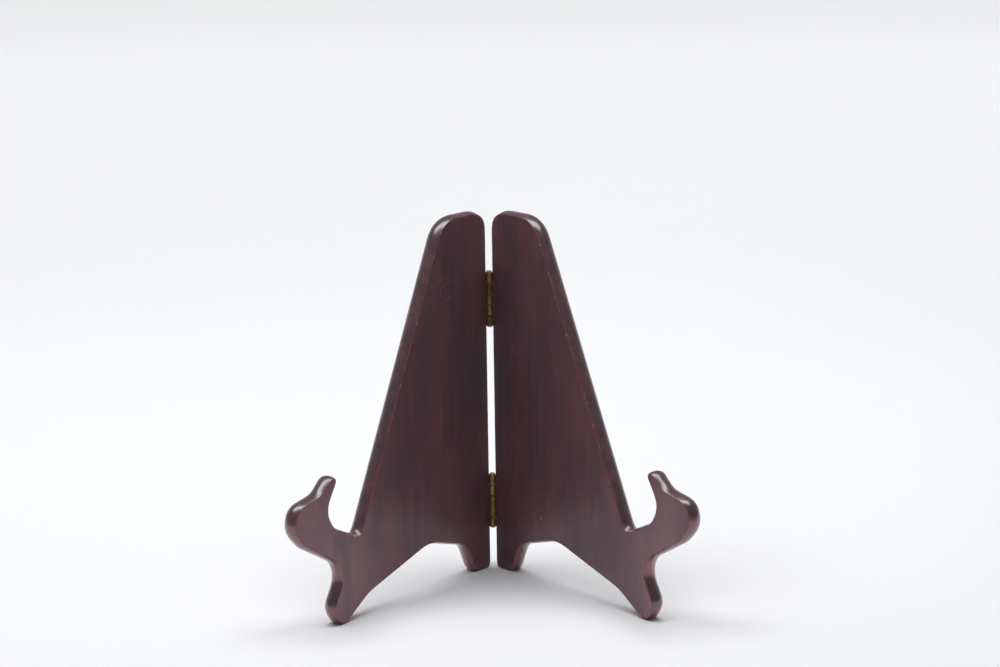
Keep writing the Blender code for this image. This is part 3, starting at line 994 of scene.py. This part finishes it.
def build_object():
    """All visible pieces of the stand, each on its CAD body."""
    sheet = rolled_brass("rolled_hinge_brass")
    screw_brass = turned_brass("turned_screw_brass", "X")
    pin_brass = turned_brass("turned_pin_brass", "Z")
    for side, mirrored in SIDES.items():
        body = f"{side}_side"
        wood = stained_wood(f"{side}_stained_wood", WOOD_SHIFTS[side])
        board = new_object(f"{side}_board", board_mesh(f"{side}_board", mirrored), wood)
        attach(board, body)
        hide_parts(f"{side}_wing")
        for level, centre in HINGE_CENTRES.items():
            name = f"{level}_{side}_rolled_leaf"
            leaf = new_object(name, leaf_mesh(name, mirrored, centre), sheet)
            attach(leaf, body)
            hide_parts(f"{level}_hinge_{side}_leaf")
            for spot, offset in (("bottom", -SCREW_SPREAD), ("top", SCREW_SPREAD)):
                key = f"{level}_{side}_{spot}"
                mesh = screw_mesh(f"{key}_slotted_screw", mirrored, centre + offset,
                                  SLOT_TWISTS[key])
                screw = new_object(f"{key}_slotted_screw", mesh, screw_brass)
                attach(screw, body)
                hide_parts(f"{level}_hinge_{side}_{spot}_screw")
    for level, centre in HINGE_CENTRES.items():
        pin = new_object(f"{level}_peened_pin", pin_mesh(f"{level}_peened_pin", centre), pin_brass)
        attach(pin, "left_side")
        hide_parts(f"{level}_hinge_pin")


# ---------------------------------------------------------------- camera, floor and light

CAMERA_DISTANCE = 1.2
CAMERA_ELEVATION = math.radians(12.0)
CAMERA_YAW = math.radians(-0.1)
CAMERA_ROLL = math.radians(-0.87)
CAMERA_LENS = 91.8
CAMERA_SENSOR = 36.0
AIM_RIGHT = 2.97
AIM_UP = 109.2

SWEEP_RADII = (0.02, 0.4, 1.0, 1.7, 2.3)
SWEEP_BEND = 0.9
SWEEP_BEND_STEPS = 24
SWEEP_WALL = 0.8
SWEEP_SIDES = 96
PAPER = rgb(0.788, 0.792, 0.802)
PAPER_PALE = rgb(0.808, 0.812, 0.818)
PAPER_TONE = (3.0, EVEN, 2.0, 1.0)                   # patterns in cells per metre
PAPER_GRAIN = (900.0, EVEN, 2.0, 2.0)
PAPER_RELIEF = (0.1, 0.0001)
PAPER_ROUGHNESS = 0.7
PAPER_SPECULAR = 0.25

OVERHEAD_PLACE = (-0.08, -0.03, 1.02)
OVERHEAD_AIM = (0.0, 0.0, 0.03)
OVERHEAD_SIZE = (1.30, 0.46)
OVERHEAD_RADIANCE = 5.75
OVERHEAD_COLOUR = (0.978, 0.982, 1.0)
WASH_PLACE = (0.0, 2.0, 2.3)
WASH_AIM = (0.0, 2.0, 0.0)
WASH_SIZE = (4.8, 3.2)
WASH_RADIANCE = 0.86
WASH_COLOUR = (1.0, 1.0, 1.0)
WASH_SPREAD = math.radians(70.0)
ROOM_COLOUR = rgb(0.96, 0.97, 1.0)
ROOM_STRENGTH = 0.20


def make_camera():
    """Camera at the photograph's angle: a little above the table, rolled by under a degree."""
    e, y = CAMERA_ELEVATION, CAMERA_YAW
    back = Vector((math.sin(y) * math.cos(e), -math.cos(y) * math.cos(e), math.sin(e)))
    right = Vector((math.cos(y), math.sin(y), 0.0))
    up = back.cross(right)
    c, s = math.cos(CAMERA_ROLL), math.sin(CAMERA_ROLL)
    right, up = right * c + up * s, up * c - right * s
    aim = Vector((PIN.x, PIN.y, 0.0)) + (right * AIM_RIGHT + up * AIM_UP) * MM
    turn = Matrix((right, up, back)).transposed()
    data = bpy.data.cameras.new("camera")
    data.lens = CAMERA_LENS
    data.sensor_width = CAMERA_SENSOR
    data.dof.use_dof = False
    camera = bpy.data.objects.new("camera", data)
    place = aim + back * CAMERA_DISTANCE
    camera.matrix_world = Matrix.Translation(place) @ turn.to_4x4()
    bpy.context.scene.collection.objects.link(camera)
    bpy.context.scene.camera = camera


def sweep_paper():
    """Matt, pale paper with hardly any tone or grain."""
    s = Shader("pale_paper_sweep")
    ground = s.node("ShaderNodeNewGeometry", out="Position")
    paper = s.mix(s.noise(ground, PAPER_TONE), PAPER, PAPER_PALE)
    relief = s.bump(s.noise(ground, PAPER_GRAIN), *PAPER_RELIEF)
    return s.finish(Base_Color=paper, Roughness=PAPER_ROUGHNESS, Normal=relief,
                    Specular_IOR_Level=PAPER_SPECULAR)


def make_floor():
    """Plain pale sweep: a round floor whose far rim curves up out of sight."""
    flat_radius = SWEEP_RADII[-1]
    profile = [(radius, 0.0) for radius in SWEEP_RADII]
    for i in range(1, SWEEP_BEND_STEPS + 1):
        angle = math.pi / 2 * i / SWEEP_BEND_STEPS
        profile.append((flat_radius + SWEEP_BEND * math.sin(angle),
                        SWEEP_BEND * (1 - math.cos(angle))))
    profile.append((flat_radius + SWEEP_BEND, SWEEP_BEND + SWEEP_WALL))
    build = bmesh.new()
    loops = [[build.verts.new((x, y, height)) for x, y in circle(radius, SWEEP_SIDES)]
             for radius, height in profile]
    build.faces.new(loops[0])
    for inner, outer in zip(loops, loops[1:]):
        for i in range(SWEEP_SIDES):
            j = (i + 1) % SWEEP_SIDES
            build.faces.new((inner[i], outer[i], outer[j], inner[j])).smooth = True
    mesh = bpy.data.meshes.new("studio_sweep")
    build.to_mesh(mesh)
    build.free()
    floor = new_object("studio_sweep", mesh, sweep_paper())


def softbox(name, place, aim, size, radiance, colour):
    """Rectangular soft light, its width along X, whose brightness is given as radiance."""
    data = bpy.data.lights.new(name, 'AREA')
    data.shape = 'RECTANGLE'
    data.size, data.size_y = size
    data.energy = radiance * math.pi * data.size * data.size_y
    data.color = colour
    light = bpy.data.objects.new(name, data)
    light.visible_camera = False
    back = (Vector(place) - Vector(aim)).normalized()
    right = (Vector((1.0, 0.0, 0.0)) - back * back.x).normalized()
    turn = Matrix((right, back.cross(right), back)).transposed()
    light.matrix_world = Matrix.Translation(place) @ turn.to_4x4()
    bpy.context.scene.collection.objects.link(light)
    return light


def make_light():
    """Large softbox nearly overhead, wash light over the sweep behind, and a plain room."""
    softbox("overhead_softbox", OVERHEAD_PLACE, OVERHEAD_AIM, OVERHEAD_SIZE, OVERHEAD_RADIANCE,
            OVERHEAD_COLOUR)
    wash = softbox("background_wash", WASH_PLACE, WASH_AIM, WASH_SIZE, WASH_RADIANCE, WASH_COLOUR)
    wash.data.spread = WASH_SPREAD
    wash.visible_glossy = False
    world = bpy.data.worlds.new("plain_room")
    world.use_nodes = True
    sky = world.node_tree.nodes["Background"]
    sky.inputs["Color"].default_value = ROOM_COLOUR
    sky.inputs["Strength"].default_value = ROOM_STRENGTH
    bpy.context.scene.world = world


make_camera()
build_object()
make_floor()
make_light()

view = bpy.context.scene.view_settings
view.view_transform = 'Standard'
view.look = 'None'
view.exposure = 0.0
view.gamma = 1.0
